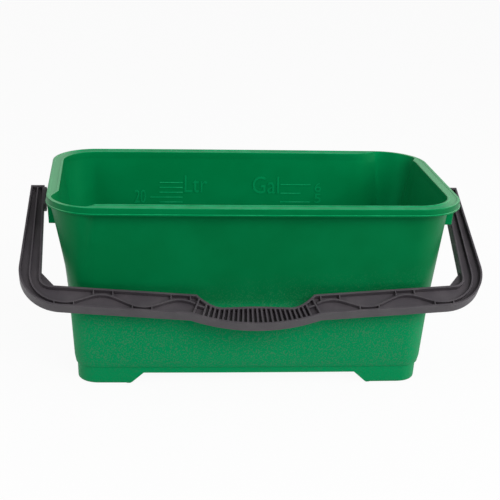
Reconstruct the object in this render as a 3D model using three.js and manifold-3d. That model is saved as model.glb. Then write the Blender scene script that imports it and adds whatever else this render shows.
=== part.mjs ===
// Window cleaning bucket: an oblong polypropylene tub and the ribbed bail handle that snaps into it.
// The tub has a hollow rim, a pouring corner at two opposite corners, four feet and a pivot bracket
// at each end. Millimetres, +Z up, X along the tub, the handle resting against the front wall at -Y.
import * as THREE from 'three';
import { mergeVertices } from 'three/addons/utils/BufferGeometryUtils.js';
import Module from 'manifold-3d';

const wasm = await Module();
wasm.setup();

// Tub: outside sizes
const rimLength = 550;
const rimWidth = 305;
const tubHeight = 262;
const rimCornerRadius = 65;
const baseCornerRadius = 26;
const wallThickness = 3.2;
const wallCrown = 1.6;            // how far the long walls and rims bulge at their middle

// Tub: heights and inward steps of the outer wall, from the rim down to the feet
const rimOverhang = 13.4;         // at the ends
const sideOverhang = 16.9;        // and along the long walls
const kinkHeight = 126;
const upperDraw = 15.7;           // lean of the smooth upper wall, from the rim down to the kink
const sideUpright = 3;            // how much less the long walls lean there
const shoulderHeight = 35.5;
const lowerDraw = 7.6;            // lean of the grained lower wall, from the kink to the shoulder
const shoulderDrop = 5;
const shoulderDraw = 0.9;
const stepHeight = 26;
const stepDraw = 1;
const stepDepth = 1.9;
const stepDrop = 1;
const footDraw = 1;
const footRounding = 4;
const floorRounding = 9;          // inside, where the walls meet the floor

// Tub: rim section, measured in from the rim's outer edge and down from its top
const skirtHeight = 10;
const skirtThickness = 2.5;
const rimPlateThickness = 3.2;
const lipHeight = 1.8;
const lipDepth = 0.9;
const ridgeWidth = 2.2;
const ridgeHeight = 0.7;
const rimEdgeRounding = 1.9;
const bandWidth = 16.6;

// Tub: pouring corners, where the rim's top narrows to a lip and the upper wall leans out to it
const spoutLipWidth = 5.7;
const spoutFlare = 9.5;
const spoutStartShare = 0.96;     // of a side's straight length: where a pouring corner begins
const spoutEdgeShare = 0.4;       // how far it is open where the corner's arc leaves the long wall
const spoutOpenShare = 0.28;      // of the arc, from either wall: over which it opens

// Tub: feet and the two passages between them
const archHeight = 16.25;
const footLength = 71;
const footWidth = 60;
const footChamfer = 18;

// Tub: pivot brackets under the rim at each end
const pivotDepth = 34;
const bracketInset = 9.5;          // from the ends of the rim's straight side
const bracketWall = 3;
const bracketBelowHole = 3.1;
const bracketDraft = 3.2;

// Tub: raised graduation lines on the rear wall
const markProud = 0.6;
const markThickness = 1.4;
const litreSpacing = 7.4;         // a litre of water, at this height of the tub
const litreMarkX = -100;
const litreMarkLength = 35;
const litreLongLength = 48.5;
const litreLowest = 186.3;
const litreCount = 5;
const litreLongIndex = 1;
const gallonSpacing = 13.2;       // half a gallon
const gallonMarkX = 64;
const gallonMarkLength = 47.5;
const gallonShortLength = 33;
const gallonLowest = 187.4;
const gallonCount = 3;

// Handle: sections
const handleThickness = 17;
const flangeThickness = 2.8;
const webThickness = 3;
const ribThickness = 2.2;
const ribRecess = 1;              // how far the inner ribs stay below the flanges

// Handle: arms and bar, as distances out from the pivot axis and along X
const armInnerX = 281.8;          // at the arm's top
const armInward = 1;              // how much further in the inner edge is at the corner
const armTopWidth = 18.6;
const armSplay = 14.3;            // how much further out the arm's outer edge is at the corner
const armEnd = 18.5;
const swingClearance = 0.5;       // between the bar and the rim as the handle swings over
const barSlope = 0.0777;          // the bar's halves rise towards the arms by this much per length
const barWidth = 30.9;
const cornerRadius = 60;
const innerCornerRadius = 14;
const ribBendStart = 22.4;        // where the arm's middle rib starts to turn, above the bar
const ribBendPull = 0.6;          // how fully it turns
const gussetAlong = 21;
const gussetUp = 24;

// Handle: the grip in the middle of the bar
const gripShoulderX = 77.4;
const gripDip = 18.9;             // from the bar's inner edge down to the grip's
const gripFlatX = 45;
const gripBulge = 1.6;
const gripWidth = 27.5;
const gripOuterX = 85.6;
const gripRisePower = 1.8;        // how sharply the grip's edge rises towards the shoulder
const combHalfLength = 72.5;      // along the grip's outer edge
const combSlots = 22;
const combRibThickness = 2.3;
const braceDepth = 16;            // of the ribs beside the comb, from the grip's outer edge

// Handle: the waved stiffening rib and its ticks
const waveCrestX = 98.5;
const waveLength = 101;
const waveCrestDepth = 9;         // from the bar's inner edge to the rib at a crest
const waveTroughDepth = 24;
const tickOffset = 12.6;

// Handle: hubs and studs
const hubRadius = 17;
const hubFaceX = 278.5;
const studRadius = 6.5;
const studClearance = 0.4;
const studBarb = 1.2;
const studBarbLength = 5;
const studSlit = 2.4;
const studSlitDepth = 9;
const restClearance = 0.3;
const contactShare = 0.9;         // of the bar's half length: the part that can meet the wall

// Fineness
const overrun = 2;                // how far a cut or a joined shape runs past what it meets
const cornerSteps = 7;
const roundingSteps = 3;
const roundSteps = 24;
const hubSteps = 32;
const gripSteps = 4;
const riseSteps = 6;
const innerCornerSteps = 4;
const outerCornerSteps = 10;
const gripArcSteps = 6;
const bendSteps = 9;
const waveSteps = 14;
const contactSteps = 24;
const tiltHalvings = 40;

// Derived places
const rimHalf = rimLength / 2;
const rimSurplus = (rimLength - rimWidth) / 2;
const bandSurplus = sideOverhang - rimOverhang;
const wallTopHalf = rimHalf - rimOverhang;
const kinkHalf = wallTopHalf - upperDraw;
const shoulderHalf = kinkHalf - lowerDraw;
const shoulderEndHalf = shoulderHalf - shoulderDraw;
const stepHalf = shoulderEndHalf - stepDraw;
const plinthHalf = stepHalf - stepDepth;
const footHalf = plinthHalf - footDraw;
const skirtBottom = tubHeight - skirtHeight;
const pivotHeight = tubHeight - pivotDepth;
const bracketBottom = pivotHeight - studRadius - studClearance - bracketBelowHole;
const bracketHalfWidth = rimHalf - rimSurplus - rimCornerRadius - bracketInset;
const wallTopRadius = rimCornerRadius - rimOverhang;

function wallHalf(z) {
  if (z >= kinkHeight) {
    const share = (z - kinkHeight) / (skirtBottom - kinkHeight);
    return kinkHalf + share * upperDraw;
  }
  const share = (z - shoulderHeight) / (kinkHeight - shoulderHeight);
  return shoulderHalf + share * lowerDraw;
}

// How much less the wall's half width is than its half length.
function wallSurplus(z) {
  const share = Math.min(1, Math.max(0, (z - kinkHeight) / (skirtBottom - kinkHeight)));
  return rimSurplus + bandSurplus - sideUpright * (1 - share);
}

function wallRadius(z) {
  const share = Math.min(1, Math.max(0, (z - stepHeight) / (skirtBottom - stepHeight)));
  return baseCornerRadius + share * (wallTopRadius - baseCornerRadius);
}

// A ring round the tub is a rounded rectangle at one height. half is its half length, and its half
// width is less than that by surplus. spout is the ring that it follows at the pouring corners.
function outerRing(z, half) {
  return { z, half, radius: wallRadius(z), surplus: wallSurplus(z) };
}

function innerRing(z, half) {
  return { z, half, radius: Math.max(wallRadius(z) - wallThickness, wallThickness), surplus: wallSurplus(z) };
}

function rimRing(inset, drop, spoutInset = inset, spoutDrop = drop, extra = 0) {
  const place = (d, down, more) => {
    const z = tubHeight - down;
    return { z, half: rimHalf - d, radius: rimCornerRadius - d, surplus: rimSurplus + more };
  };
  return { ...place(inset, drop, extra), spout: place(spoutInset, spoutDrop, 0) };
}

// The same ring of a wall, leaning out to the lip of a pouring corner.
function flaredRing(ring) {
  const share = (ring.z - kinkHeight) / (tubHeight - kinkHeight);
  const flare = spoutFlare * share;
  return {
    z: ring.z,
    half: ring.half + flare,
    radius: ring.radius + flare,
    surplus: ring.surplus - bandSurplus * share,
  };
}

// The stations of every ring, anticlockwise seen from above: four arcs and the sides between them.
function ringStations() {
  const stations = [];
  const sideShares = [[spoutStartShare, 0.5, 0, -0.5, -spoutStartShare], [spoutStartShare, -spoutStartShare]];
  for (let quarter = 0; quarter < 4; quarter++) {
    const poursHere = quarter % 2 === 0;
    for (let step = 0; step <= cornerSteps; step++) {
      const angle = (quarter + step / cornerSteps) * Math.PI / 2;
      const fromEnd = step / cornerSteps / spoutOpenShare;
      const fromLong = (1 - step / cornerSteps) / spoutOpenShare + spoutEdgeShare;
      const pour = poursHere ? Math.min(1, fromEnd, fromLong) : 0;
      stations.push({ angle, pour, sx: quarter === 0 || quarter === 3 ? 1 : -1, sy: quarter < 2 ? 1 : -1 });
    }
    for (const share of sideShares[quarter % 2]) {
      const sign = quarter < 2 ? 1 : -1;
      stations.push(quarter % 2 === 0 ? { alongX: share * sign, side: sign } : { alongY: share * sign, side: -sign });
    }
  }
  return stations;
}

function placeStation(station, ring) {
  const halfWidth = ring.half - ring.surplus;
  const flatX = ring.half - ring.radius;
  const flatY = halfWidth - ring.radius;
  if (station.alongX !== undefined) {
    const bulge = wallCrown * (1 - station.alongX ** 2);
    return new THREE.Vector3(station.alongX * flatX, station.side * (halfWidth + bulge), ring.z);
  }
  if (station.alongY !== undefined) {
    return new THREE.Vector3(station.side * ring.half, station.alongY * flatY, ring.z);
  }
  return new THREE.Vector3(
    station.sx * flatX + ring.radius * Math.cos(station.angle),
    station.sy * flatY + ring.radius * Math.sin(station.angle),
    ring.z,
  );
}

// Skins a closed body over a list of rings, with a flat cap over the first and the last.
function loftRings(rings) {
  const stations = ringStations();
  const count = stations.length;
  const positions = [];
  for (const ring of rings) {
    for (const station of stations) {
      const point = placeStation(station, ring);
      if (ring.spout && station.pour) point.lerp(placeStation(station, ring.spout), station.pour);
      positions.push(point.x, point.y, point.z);
    }
  }
  const last = rings.length - 1;
  positions.push(0, 0, rings[0].z, 0, 0, rings[last].z);
  const firstCentre = rings.length * count;
  const index = [];
  for (let i = 0; i < count; i++) {
    const next = (i + 1) % count;
    for (let r = 0; r < last; r++) {
      const low = r * count;
      const high = low + count;
      index.push(low + i, low + next, high + next, low + i, high + next, high + i);
    }
    index.push(firstCentre, next, i, firstCentre + 1, last * count + i, last * count + next);
  }
  const geometry = new THREE.BufferGeometry();
  geometry.setAttribute('position', new THREE.Float32BufferAttribute(positions, 3));
  geometry.setIndex(index);
  return geometry;
}

function toSolid(geometry) {
  const bare = geometry.clone();
  bare.deleteAttribute('normal');
  bare.deleteAttribute('uv');
  const merged = mergeVertices(bare);
  return new wasm.Manifold(new wasm.Mesh({
    numProp: 3,
    vertProperties: new Float32Array(merged.attributes.position.array),
    triVerts: new Uint32Array(merged.index.array),
  }));
}

function toGeometry(solid) {
  const mesh = solid.getMesh();
  const geometry = new THREE.BufferGeometry();
  geometry.setAttribute('position', new THREE.BufferAttribute(mesh.vertProperties, 3));
  geometry.setIndex(new THREE.BufferAttribute(mesh.triVerts, 1));
  geometry.computeVertexNormals();
  return geometry;
}

function boxSolid(low, high) {
  const box = new THREE.BoxGeometry(high[0] - low[0], high[1] - low[1], high[2] - low[2]);
  box.translate((low[0] + high[0]) / 2, (low[1] + high[1]) / 2, (low[2] + high[2]) / 2);
  return toSolid(box);
}

// Extrudes an outline along +Z from one height to another.
function prism(outline, from, to, holes = []) {
  const shape = new THREE.Shape(outline.map(([x, y]) => new THREE.Vector2(x, y)));
  for (const hole of holes) shape.holes.push(new THREE.Path(hole.map(([x, y]) => new THREE.Vector2(x, y))));
  const geometry = new THREE.ExtrudeGeometry(shape, { depth: to - from, bevelEnabled: false });
  geometry.translate(0, 0, from);
  return toSolid(geometry);
}

// The rounding under the tub: ring heights and insets of a quarter circle.
function roundedFoot(makeRing, half, bottom, radius) {
  const rings = [];
  for (let step = 0; step <= roundingSteps; step++) {
    const angle = step / roundingSteps * Math.PI / 2;
    rings.push(makeRing(bottom + radius * (1 - Math.cos(angle)), half - radius * (1 - Math.sin(angle))));
  }
  return rings;
}

function outerWallRings() {
  return [
    ...roundedFoot(outerRing, footHalf, 0, footRounding),
    outerRing(stepHeight - stepDrop, plinthHalf),
    outerRing(stepHeight, stepHalf),
    outerRing(shoulderHeight - shoulderDrop, shoulderEndHalf),
    outerRing(shoulderHeight, shoulderHalf),
    outerRing(kinkHeight, kinkHalf),
  ];
}

function rimRings() {
  const rootHeight = tubHeight - rimPlateThickness;
  const spoutRootDrop = skirtHeight - lipHeight;
  const spoutRootHeight = tubHeight - spoutRootDrop;
  const rounding = lipDepth + rimEdgeRounding;
  const band = [
    [rounding + ridgeWidth, 0, 0],
    [rounding + ridgeWidth + ridgeHeight, ridgeHeight, 0],
    [bandWidth - ridgeWidth - ridgeHeight, ridgeHeight, bandSurplus],
    [bandWidth - ridgeWidth, 0, bandSurplus],
    [bandWidth - ridgeHeight, 0, bandSurplus],
    [bandWidth, ridgeHeight, bandSurplus],
  ];
  const bandRing = ([inset, drop, extra], i) => {
    const lipInset = rounding + (spoutLipWidth - rounding) * (i + 1) / band.length;
    return rimRing(inset, drop, lipInset, i + 1 === band.length ? ridgeHeight : 0, extra);
  };
  return [
    {
      ...outerRing(rootHeight, wallHalf(rootHeight)),
      spout: flaredRing(outerRing(spoutRootHeight, wallHalf(spoutRootHeight))),
    },
    rimRing(skirtThickness, rimPlateThickness, skirtThickness, spoutRootDrop),
    rimRing(skirtThickness, skirtHeight),
    rimRing(0, skirtHeight),
    rimRing(0, skirtHeight - lipHeight),
    rimRing(lipDepth, skirtHeight - lipHeight - ridgeHeight),
    rimRing(lipDepth, rimEdgeRounding),
    rimRing(rounding, 0),
    ...band.map(bandRing),
  ];
}

function innerWallRings() {
  const top = innerRing(skirtBottom, wallHalf(skirtBottom) - wallThickness);
  return [
    { ...top, spout: flaredRing(top) },
    ...[kinkHeight, shoulderHeight].map((z) => innerRing(z, wallHalf(z) - wallThickness)),
    innerRing(stepHeight - stepDrop, plinthHalf - wallThickness),
    ...roundedFoot(innerRing, footHalf - wallThickness, wallThickness, floorRounding).reverse(),
  ];
}

// The passages between the feet: one trapezoid across each way, grown by the wall for the inside.
function archProfile(halfSpan, grow) {
  const slant = Math.hypot(footChamfer, archHeight) / archHeight;
  const low = halfSpan + grow * slant;
  const top = archHeight + grow;
  const high = low - footChamfer * top / archHeight;
  const below = low + footChamfer * overrun / archHeight;
  return [[-below, -overrun], [below, -overrun], [high, top], [-high, top]];
}

function archSolid(grow) {
  const spanX = footHalf - footLength;
  const spanY = footHalf - wallSurplus(0) - footWidth;
  const reach = rimLength;
  const across = prism(archProfile(spanX, grow), -reach, reach).rotate([90, 0, 0]);
  const along = prism(archProfile(spanY, grow), -reach, reach).rotate([90, 0, 90]);
  return across.add(along);
}

// The raised floor over the passages, running into the middle of the walls.
function raisedFloor() {
  const midWall = outerWallRings().map((ring) => ({ ...ring, half: ring.half - wallThickness / 2 }));
  return toSolid(loftRings(midWall)).intersect(archSolid(wallThickness)).subtract(archSolid(0));
}

// How far out the pivot brackets' faces are.
function bracketFace(z) {
  const share = (z - bracketBottom) / (skirtBottom - bracketBottom);
  return rimHalf - bracketDraft + share * (bracketDraft - lipDepth);
}

// One pivot bracket: a box open below, drawn in a little towards its foot, with the stud's hole.
function pivotBracket() {
  const top = tubHeight - rimPlateThickness / 2;
  const roof = tubHeight - rimPlateThickness;
  const face = rimHalf;
  const inWall = (z) => wallHalf(z) - wallThickness / 2;
  const outer = [
    [inWall(bracketBottom), bracketBottom], [face - bracketDraft, bracketBottom],
    [face - lipDepth, skirtBottom], [face - lipDepth, top - rimEdgeRounding], [inWall(top), top - rimEdgeRounding],
  ];
  const below = bracketBottom - overrun;
  const inner = [
    [inWall(below) - overrun, below], [face - bracketDraft - bracketWall, below],
    [face - lipDepth - bracketWall, skirtBottom], [face - lipDepth - bracketWall, roof], [inWall(roof) - overrun, roof],
  ];
  const shell = prism(outer, -bracketHalfWidth, bracketHalfWidth);
  const hollow = prism(inner, -bracketHalfWidth + bracketWall, bracketHalfWidth - bracketWall);
  const hole = new THREE.CylinderGeometry(
    studRadius + studClearance, studRadius + studClearance, 2 * (bracketWall + overrun), roundSteps);
  hole.rotateZ(Math.PI / 2);
  hole.translate(face - bracketWall / 2, pivotHeight, 0);
  return shell.subtract(hollow).subtract(toSolid(hole)).rotate([90, 0, 0]);
}

function graduations() {
  const lines = [];
  for (let i = 0; i < litreCount; i++) {
    const length = i === litreLongIndex ? litreLongLength : litreMarkLength;
    const right = litreMarkX + litreMarkLength / 2;
    lines.push({ left: right - length, right, z: litreLowest + i * litreSpacing });
  }
  for (let i = 0; i < gallonCount; i++) {
    const length = i % 2 === 0 ? gallonMarkLength : gallonShortLength;
    lines.push({ left: gallonMarkX, right: gallonMarkX + length, z: gallonLowest + i * gallonSpacing });
  }
  return lines.map(({ left, right, z }) => {
    const flat = wallHalf(z) - wallRadius(z);
    const middleShare = (left + right) / 2 / flat;
    const inside = wallHalf(z) - wallThickness - wallSurplus(z) + wallCrown * (1 - middleShare ** 2);
    const low = [left, inside - markProud, z - markThickness / 2];
    return boxSolid(low, [right, inside + wallThickness / 2, z + markThickness / 2]);
  });
}

function tubGeometry() {
  const shell = toSolid(loftRings([...outerWallRings(), ...rimRings(), ...innerWallRings()]));
  const bracket = pivotBracket();
  let tub = shell.subtract(archSolid(0)).add(raisedFloor());
  tub = tub.add(bracket).add(bracket.rotate([0, 0, 180]));
  for (const line of graduations()) tub = tub.add(line);
  return toGeometry(tub);
}

// The handle is drawn flat: x across, y down from the pivot axis, and its thickness about z = 0.
const rimSweep = Math.hypot(rimWidth / 2 - lipDepth, tubHeight - rimEdgeRounding - pivotHeight);
const rimFlat = rimHalf - rimCornerRadius;
const barReach = rimSweep + swingClearance + barSlope * rimFlat;

function barInner(x) {
  return barReach - barSlope * Math.abs(x);
}

const halfThickness = handleThickness / 2;
const cornerInnerX = armInnerX - armInward;
const cornerInnerY = barInner(cornerInnerX);
const cornerY = cornerInnerY + barWidth;
const armOuterTop = armInnerX + armTopWidth;
const armOuterLow = armOuterTop + armSplay;
const armSlope = armSplay / (cornerY + armEnd);

function armInner(y) {
  return armInnerX - armInward * (y + armEnd) / (cornerInnerY + armEnd);
}

function armOuter(y) {
  return armOuterTop + armSlope * (y + armEnd);
}

const gripInner = barInner(gripShoulderX) + gripDip;
const gripOuter = gripInner + gripWidth;
const gripOuterSide = barInner(gripOuterX) + barWidth;
const gripSagitta = gripOuter - gripOuterSide;
const gripArcRadius = (gripOuterX ** 2 + gripSagitta ** 2) / (2 * gripSagitta);
const gripArcY = gripOuter - gripArcRadius;

// Replaces a corner between two straight edges by an arc, as points from one tangent to the other.
function roundCorner(before, corner, after, radius, steps) {
  const at = new THREE.Vector2(...corner);
  const u = new THREE.Vector2(...before).sub(at).normalize();
  const v = new THREE.Vector2(...after).sub(at).normalize();
  const half = Math.acos(u.dot(v)) / 2;
  const reach = radius / Math.tan(half);
  const centre = u.clone().add(v).normalize().multiplyScalar(radius / Math.sin(half)).add(at);
  const start = u.clone().multiplyScalar(reach).add(at).sub(centre).angle();
  let sweep = v.clone().multiplyScalar(reach).add(at).sub(centre).angle() - start;
  if (sweep > Math.PI) sweep -= 2 * Math.PI;
  if (sweep < -Math.PI) sweep += 2 * Math.PI;
  const points = [];
  for (let i = 0; i <= steps; i++) {
    const angle = start + sweep * i / steps;
    points.push([centre.x + radius * Math.cos(angle), centre.y + radius * Math.sin(angle)]);
  }
  return points;
}

// The right half of the handle's outline, from the middle of the grip's inner edge, round the arm,
// to the middle of its outer edge.
function halfOutline() {
  const points = [];
  for (let i = 0; i <= gripSteps; i++) {
    const x = gripFlatX * i / gripSteps;
    points.push([x, gripInner + gripBulge * (1 - Math.cos(Math.PI * x / gripFlatX)) / 2]);
  }
  const riseStart = gripInner + gripBulge;
  for (let i = 1; i <= riseSteps; i++) {
    const share = i / riseSteps;
    const x = gripFlatX + (gripShoulderX - gripFlatX) * share;
    points.push([x, riseStart + (barInner(gripShoulderX) - riseStart) * share ** gripRisePower]);
  }
  const innerCorner = [cornerInnerX, cornerInnerY];
  const barStart = [gripShoulderX, barInner(gripShoulderX)];
  const armTop = [armInnerX, -armEnd];
  points.push(...roundCorner(barStart, innerCorner, armTop, innerCornerRadius, innerCornerSteps));
  points.push(armTop, [armOuterTop, -armEnd]);
  const barEnd = [gripOuterX, gripOuterSide];
  const outerX = (armOuterTop + armSlope * (armEnd + barReach + barWidth)) / (1 + armSlope * barSlope);
  const outerCorner = [outerX, barInner(outerX) + barWidth];
  points.push(...roundCorner([armOuterTop, -armEnd], outerCorner, barEnd, cornerRadius, outerCornerSteps));
  for (let i = 0; i <= gripArcSteps; i++) {
    const x = gripOuterX * (1 - i / gripArcSteps);
    points.push([x, gripArcY + Math.sqrt(gripArcRadius ** 2 - x ** 2)]);
  }
  return points;
}

function fullOutline() {
  const right = halfOutline();
  const left = right.slice(1, -1).reverse().map(([x, y]) => [-x, y]);
  return [...right, ...left];
}

// Moves each point of a closed outline inwards, square to its two edges.
function insetOutline(outline, distance) {
  const count = outline.length;
  return outline.map((point, i) => {
    const at = new THREE.Vector2(...point);
    const a = at.clone().sub(new THREE.Vector2(...outline[(i + count - 1) % count])).normalize();
    const b = new THREE.Vector2(...outline[(i + 1) % count]).sub(at).normalize();
    const across = new THREE.Vector2(-a.y - b.y, a.x + b.x).normalize();
    const stretch = distance / across.dot(new THREE.Vector2(-a.y, a.x));
    return [at.x + across.x * stretch, at.y + across.y * stretch];
  });
}

// A strip of one width along a line of points.
function strip(line, width) {
  const left = [];
  const right = [];
  line.forEach((point, i) => {
    const before = new THREE.Vector2(...line[Math.max(i - 1, 0)]);
    const after = new THREE.Vector2(...line[Math.min(i + 1, line.length - 1)]);
    const along = after.sub(before).normalize().multiplyScalar(width / 2);
    left.push([point[0] - along.y, point[1] + along.x]);
    right.push([point[0] + along.y, point[1] - along.x]);
  });
  return [...left, ...right.reverse()];
}

const ribHalf = halfThickness - ribRecess;
const waveMiddle = (waveCrestDepth + waveTroughDepth) / 2;
const waveSwing = (waveTroughDepth - waveCrestDepth) / 2;

function waveY(x) {
  const phase = 2 * Math.PI * (x - waveCrestX) / waveLength;
  return barInner(x) + waveMiddle - waveSwing * Math.cos(phase);
}

// The stiffening rib: down the middle of the arm, round the corner, then in waves along the bar.
function mainRib() {
  const line = [];
  const armMiddle = (y) => (armInner(y) + armOuter(y)) / 2;
  const armLow = cornerInnerY - ribBendStart;
  line.push([armMiddle(-armEnd), -armEnd + flangeThickness / 2]);
  const lastTrough = waveCrestX + waveLength + waveLength / 2;
  const pull = (armMiddle(armLow) - lastTrough) * ribBendPull;
  const corner = new THREE.CubicBezierCurve(
    new THREE.Vector2(armMiddle(armLow), armLow),
    new THREE.Vector2(armMiddle(armLow), armLow + pull),
    new THREE.Vector2(lastTrough + pull, waveY(lastTrough) - barSlope * pull),
    new THREE.Vector2(lastTrough, waveY(lastTrough)),
  );
  const cornerPoints = corner.getPoints(bendSteps);
  for (const point of cornerPoints) line.push([point.x, point.y]);
  const end = gripShoulderX + ribThickness;
  for (let x = lastTrough - waveLength / waveSteps; x > end; x -= waveLength / waveSteps) {
    line.push([x, waveY(x)]);
  }
  line.push([end, waveY(end)]);
  return line;
}

// Short ticks that tie the rib to the nearer flange on both sides of each crest and trough.
function ticks() {
  const lines = [];
  for (let i = 0; i < 4; i++) {
    const middle = waveCrestX + i * waveLength / 2;
    for (const side of [-1, 1]) {
      const x = middle + side * tickOffset;
      const edge = barInner(x) + (i % 2 === 0 ? flangeThickness / 2 : barWidth - flangeThickness / 2);
      lines.push([[x, waveY(x)], [x, edge]]);
    }
  }
  return lines;
}

// A rib across the grip, on a radius of the grip's outer arc, long enough to reach both flanges.
function radialRib(alongArc) {
  const angle = alongArc / gripArcRadius;
  const outerEdge = gripArcRadius;
  const innerEdge = outerEdge - gripWidth - gripDip;
  return [innerEdge, outerEdge].map((reach) => [reach * Math.sin(angle), gripArcY + reach * Math.cos(angle)]);
}

function studSolid() {
  const holeEdge = bracketFace(pivotHeight - studRadius - studBarb) - bracketWall;
  const barbStart = holeEdge - restClearance;
  const barbRadius = studRadius + studBarb;
  const tip = barbStart - studBarbLength;
  const profile = [
    [0, tip], [studRadius - studBarb, tip], [barbRadius, barbStart - studBarb],
    [studRadius, barbStart], [studRadius, hubFaceX + overrun], [0, hubFaceX + overrun],
  ];
  const stud = new THREE.LatheGeometry(profile.map(([r, x]) => new THREE.Vector2(r, x)), roundSteps);
  const hubEnd = armInner(hubRadius) + flangeThickness / 2;
  const hub = new THREE.CylinderGeometry(hubRadius, hubRadius, hubEnd - hubFaceX, hubSteps);
  hub.translate(0, (hubEnd + hubFaceX) / 2, 0);
  const slit = boxSolid([-barbRadius, tip - overrun, -studSlit / 2], [barbRadius, tip + studSlitDepth, studSlit / 2]);
  return toSolid(stud).add(toSolid(hub)).subtract(slit).rotate([0, 0, -90]);
}

// Everything between the flanges of the right half, cut off where it meets them.
function innerRibs(mid) {
  const ribs = [];
  const addRib = (line, width, half) => ribs.push(prism(strip(line, width), -half, half));
  addRib(mainRib(), ribThickness, ribHalf);
  for (const tick of ticks()) addRib(tick, ribThickness, ribHalf);
  const first = radialRib(gripOuterX);
  const second = radialRib(combHalfLength);
  const braceEnd = ([, [x, y]]) => {
    const share = 1 - braceDepth / gripArcRadius;
    return [x * share, gripArcY + (y - gripArcY) * share];
  };
  addRib(first, ribThickness, halfThickness);
  addRib([braceEnd(first), braceEnd(second)], ribThickness, ribHalf);
  for (let i = 0; i <= combSlots / 2; i++) {
    addRib(radialRib(combHalfLength * (1 - 2 * i / combSlots)), combRibThickness, halfThickness);
  }
  return ribs.reduce((all, rib) => all.add(rib)).intersect(prism(mid, -halfThickness, halfThickness));
}

// The web in the angle between arm and bar, on its straight inner edge.
function gussetSolid() {
  const inFlange = flangeThickness / 2;
  const top = cornerInnerY - gussetUp;
  const end = cornerInnerX - gussetAlong;
  return prism([
    [cornerInnerX + inFlange, cornerInnerY + inFlange],
    [armInner(top) + inFlange, top],
    [armInner(top), top],
    [end, barInner(end)],
    [end, barInner(end) + inFlange],
  ], -webThickness / 2, webThickness / 2);
}

function handleGeometry() {
  const outline = fullOutline();
  const inner = insetOutline(outline, flangeThickness);
  const mid = insetOutline(outline, flangeThickness / 2);
  let handle = prism(outline, -halfThickness, halfThickness, [inner]);
  handle = handle.add(prism(mid, -webThickness / 2, webThickness / 2));
  for (const side of [innerRibs(mid), gussetSolid(), studSolid()]) {
    handle = handle.add(side).add(side.mirror([1, 0, 0]));
  }
  return toGeometry(handle.mirror([0, 1, 0]));
}

// The tilt at which the bar's back edge meets the wall, found by halving.
function restingTilt() {
  const gap = (tilt) => {
    let least = Infinity;
    for (let i = 0; i <= contactSteps; i++) {
      const x = armInnerX * contactShare * i / contactSteps;
      const reach = barInner(x);
      const y = reach * Math.sin(tilt) - halfThickness * Math.cos(tilt);
      const z = pivotHeight - reach * Math.cos(tilt) - halfThickness * Math.sin(tilt);
      const flat = wallHalf(z) - wallRadius(z);
      const past = Math.max(x - flat, 0);
      const bulge = wallCrown * Math.max(1 - (x / flat) ** 2, 0);
      const corner = Math.sqrt(Math.max(wallRadius(z) ** 2 - past ** 2, 0)) - wallRadius(z);
      least = Math.min(least, y - (wallHalf(z) - wallSurplus(z) + bulge + corner));
    }
    return least;
  };
  let low = 0;
  let high = Math.PI / 2;
  for (let i = 0; i < tiltHalvings; i++) {
    const middle = (low + high) / 2;
    if (gap(middle) > restClearance) high = middle;
    else low = middle;
  }
  return high;
}

const tubMaterial = new THREE.MeshStandardMaterial({ color: 0x0a7a45, roughness: 0.45, metalness: 0 });
const handleMaterial = new THREE.MeshStandardMaterial({ color: 0x47434a, roughness: 0.55, metalness: 0 });

const tub = new THREE.Mesh(tubGeometry(), tubMaterial);
tub.name = 'tub';

const handle = new THREE.Mesh(handleGeometry(), handleMaterial);
handle.name = 'bail_handle';
handle.position.z = pivotHeight;
handle.rotation.x = Math.PI / 2 - restingTilt();

const bucket = new THREE.Group();
bucket.add(tub, handle);
const bounds = new THREE.Box3().setFromObject(bucket, true);
bucket.position.y = -(bounds.min.y + bounds.max.y) / 2;

export default bucket;
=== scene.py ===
# Window cleaning bucket: an oblong green tub and the black ribbed bail handle that snaps into it.
# The tub stands on its four feet and the handle rests against its front wall, at -Y, with +Z up.
# Sizes are in millimetres unless a comment says metres, and MM turns them into the scene's metres.
import math

import bmesh
import bpy
import numpy as np
from mathutils import Matrix, Vector


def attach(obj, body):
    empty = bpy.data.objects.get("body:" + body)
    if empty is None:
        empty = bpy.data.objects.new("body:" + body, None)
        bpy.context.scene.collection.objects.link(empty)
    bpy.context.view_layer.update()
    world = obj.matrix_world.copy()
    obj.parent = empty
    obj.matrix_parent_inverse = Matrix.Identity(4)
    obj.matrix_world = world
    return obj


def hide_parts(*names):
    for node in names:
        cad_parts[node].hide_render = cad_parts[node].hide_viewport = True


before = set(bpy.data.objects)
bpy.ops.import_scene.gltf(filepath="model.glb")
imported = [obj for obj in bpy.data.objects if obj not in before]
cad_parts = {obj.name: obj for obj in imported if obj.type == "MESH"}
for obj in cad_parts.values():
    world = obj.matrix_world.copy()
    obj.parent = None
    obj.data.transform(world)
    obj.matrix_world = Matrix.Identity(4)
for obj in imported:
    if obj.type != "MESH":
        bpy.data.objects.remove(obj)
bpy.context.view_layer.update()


# The tub's shell is one injection moulding in green polypropylene: thin drafted walls, smooth above
# the kink and grained below it, under a broad rim that turns down into a skirt all round.
# At two opposite corners the rim's top narrows to a lip and the wall flares out to it, to pour from.
MM = 0.001
TUB_SHIFT = 13.188                  # of the tub's middle from the whole bucket's, towards the rear
RIM_HALF = 275.0
RIM_SURPLUS = 122.5                 # the rim's half length less its half width
WALL_SURPLUS = 126.0                # the same of the walls just under it
LOW_SURPLUS = 123.0                 # and below the kink
TUB_HEIGHT = 262.0
RIM_RADIUS = 65.0
BASE_RADIUS = 26.0
WALL = 3.2
CROWN = 1.6                         # how far the long walls bulge at their middle
SKIRT_BOTTOM = 252.0
SKIRT = TUB_HEIGHT - SKIRT_BOTTOM
SKIRT_THICKNESS = 2.5
BEAD_TOP = 8.2                      # below the rim's top, of the bead round the skirt's foot
BEAD_PROUD = 0.9
BEAD_SLANT = 0.7                    # height over which the bead's top slants in
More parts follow.
